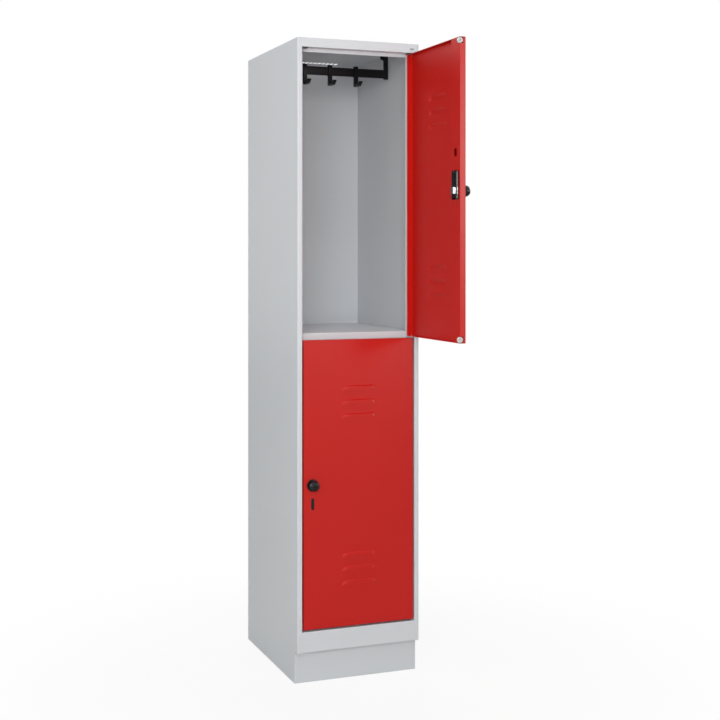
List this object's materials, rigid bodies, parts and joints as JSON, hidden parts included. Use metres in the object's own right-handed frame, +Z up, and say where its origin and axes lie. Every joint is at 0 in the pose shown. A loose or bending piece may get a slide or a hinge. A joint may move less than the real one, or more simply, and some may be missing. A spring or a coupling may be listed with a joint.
{
  "type": "double tier locker",
  "caption": "Tall steel locker with two stacked compartments, each behind a louvred hinged door with a turn-knob lock, and with a coat rail and sliding hooks inside",
  "frame": {"origin": "On the floor, in the middle of the underside of the plinth front's bottom flange", "axes": "+Z up, the door side faces -Y, +X to the right seen from the front; the upper door stands open a quarter turn at rest"},
  "size_m": [0.4086, 0.855, 1.95],
  "materials": {
    "light_grey_powder_coat": "satin light grey powder coat on folded sheet steel",
    "red_powder_coat": "satin red powder coat on folded sheet steel",
    "black_painted_steel": "black paint on steel",
    "black_plastic": "moulded black plastic",
    "white_buffer_plastic": "soft white plastic",
    "bright_plated_steel": "bright plated",
    "zinc_plated_steel": "zinc plated"
  },
  "bodies": {
    "carcass": {"left_side_panel": "light_grey_powder_coat", "right_side_panel": "light_grey_powder_coat", "left_front_post": "light_grey_powder_coat", "right_front_post": "light_grey_powder_coat", "back_panel": "light_grey_powder_coat", "top_panel": "light_grey_powder_coat", "header_rail": "light_grey_powder_coat", "bottom_panel": "light_grey_powder_coat", "bottom_rail": "light_grey_powder_coat", "divider_shelf": "light_grey_powder_coat", "plinth_front": "light_grey_powder_coat", "plinth_rear": "light_grey_powder_coat", "header_pivot_left": "black_plastic", "header_pivot_right": "black_plastic", "rail_pivot_left": "black_plastic", "rail_pivot_right": "black_plastic", "hinge_plate": "light_grey_powder_coat", "header_hinge_pin": "zinc_plated_steel", "middle_hinge_pin": "zinc_plated_steel", "rail_hinge_pin": "zinc_plated_steel", "upper_coat_rail": "black_painted_steel", "lower_coat_rail": "black_painted_steel", "upper_rail_bracket_left": "black_painted_steel", "upper_rail_bracket_right": "black_painted_steel", "lower_rail_bracket_left": "black_painted_steel", "lower_rail_bracket_right": "black_painted_steel", "foot_bar_front": "light_grey_powder_coat", "foot_bar_rear": "light_grey_powder_coat"},
    "upper_door": {"upper_door_pan": "red_powder_coat", "upper_lock_channel": "red_powder_coat", "upper_buffer_top": "white_buffer_plastic", "upper_buffer_bottom": "white_buffer_plastic", "upper_slot_liner": "black_plastic", "upper_lock_case": "black_plastic", "upper_lock_rosette": "black_plastic"},
    "upper_knob": {"upper_lock_knob": "black_plastic", "upper_lock_core": "black_painted_steel", "upper_lock_cam": "zinc_plated_steel"},
    "upper_bolt": {"upper_lock_bolt": "bright_plated_steel"},
    "lower_door": {"lower_door_pan": "red_powder_coat", "lower_lock_channel": "red_powder_coat", "lower_buffer_top": "white_buffer_plastic", "lower_buffer_bottom": "white_buffer_plastic", "lower_slot_liner": "black_plastic", "lower_lock_case": "black_plastic", "lower_lock_rosette": "black_plastic"},
    "lower_knob": {"lower_lock_knob": "black_plastic", "lower_lock_core": "black_painted_steel", "lower_lock_cam": "zinc_plated_steel"},
    "lower_bolt": {"lower_lock_bolt": "bright_plated_steel"},
    "upper_left_hook": {"upper_hook_left": "black_plastic"},
    "upper_middle_hook": {"upper_hook_middle": "black_plastic"},
    "upper_right_hook": {"upper_hook_right": "black_plastic"},
    "lower_left_hook": {"lower_hook_left": "black_plastic"},
    "lower_middle_hook": {"lower_hook_middle": "black_plastic"},
    "lower_right_hook": {"lower_hook_right": "black_plastic"},
    "front_left_foot": {"level_screw_front_left": "black_plastic"},
    "front_right_foot": {"level_screw_front_right": "black_plastic"},
    "rear_left_foot": {"level_screw_rear_left": "black_plastic"},
    "rear_right_foot": {"level_screw_rear_right": "black_plastic"}
  },
  "joints": [
    {"name": "upper_door_swing", "type": "hinge", "parent": "carcass", "child": "upper_door", "pos_m": [0.1775, -0.033, 1.044], "axis": [0, 0, 1], "range_deg": [-90, 20]},
    {"name": "lower_door_swing", "type": "hinge", "parent": "carcass", "child": "lower_door", "pos_m": [0.1775, -0.033, 0.166], "axis": [0, 0, 1], "range_deg": [0, 110]},
    {"name": "upper_knob_turn", "type": "hinge", "parent": "upper_door", "child": "upper_knob", "pos_m": [0.181, -0.362, 1.4786], "axis": [1, 0, 0], "range_deg": [0, 90]},
    {"name": "lower_knob_turn", "type": "hinge", "parent": "lower_door", "child": "lower_knob", "pos_m": [-0.1515, -0.0365, 0.6006], "axis": [0, -1, 0], "range_deg": [0, 90]},
    {"name": "upper_bolt_throw", "type": "slide", "parent": "upper_door", "child": "upper_bolt", "axis": [0, -1, 0], "range_m": [0, 0.0085]},
    {"name": "lower_bolt_throw", "type": "slide", "parent": "lower_door", "child": "lower_bolt", "axis": [-1, 0, 0], "range_m": [0, 0.0085]},
    {"name": "upper_left_hook_slide", "type": "slide", "parent": "carcass", "child": "upper_left_hook", "axis": [1, 0, 0], "range_m": [-0.058, 0.028]},
    {"name": "upper_middle_hook_slide", "type": "slide", "parent": "carcass", "child": "upper_middle_hook", "axis": [1, 0, 0], "range_m": [-0.028, 0.028]},
    {"name": "upper_right_hook_slide", "type": "slide", "parent": "carcass", "child": "upper_right_hook", "axis": [1, 0, 0], "range_m": [-0.028, 0.078]},
    {"name": "lower_left_hook_slide", "type": "slide", "parent": "carcass", "child": "lower_left_hook", "axis": [1, 0, 0], "range_m": [-0.058, 0.028]},
    {"name": "lower_middle_hook_slide", "type": "slide", "parent": "carcass", "child": "lower_middle_hook", "axis": [1, 0, 0], "range_m": [-0.028, 0.028]},
    {"name": "lower_right_hook_slide", "type": "slide", "parent": "carcass", "child": "lower_right_hook", "axis": [1, 0, 0], "range_m": [-0.028, 0.078]},
    {"name": "front_left_foot_screw", "type": "slide", "parent": "carcass", "child": "front_left_foot", "axis": [0, 0, 1], "range_m": [-0.02, 0.01]},
    {"name": "front_right_foot_screw", "type": "slide", "parent": "carcass", "child": "front_right_foot", "axis": [0, 0, 1], "range_m": [-0.02, 0.01]},
    {"name": "rear_left_foot_screw", "type": "slide", "parent": "carcass", "child": "rear_left_foot", "axis": [0, 0, 1], "range_m": [-0.02, 0.01]},
    {"name": "rear_right_foot_screw", "type": "slide", "parent": "carcass", "child": "rear_right_foot", "axis": [0, 0, 1], "range_m": [-0.02, 0.01]}
  ],
  "couplings": [
    {"joint": "upper_knob_turn", "follows": "upper_bolt_throw", "rad_per_m": 184.79},
    {"joint": "lower_knob_turn", "follows": "lower_bolt_throw", "rad_per_m": 184.79}
  ]
}
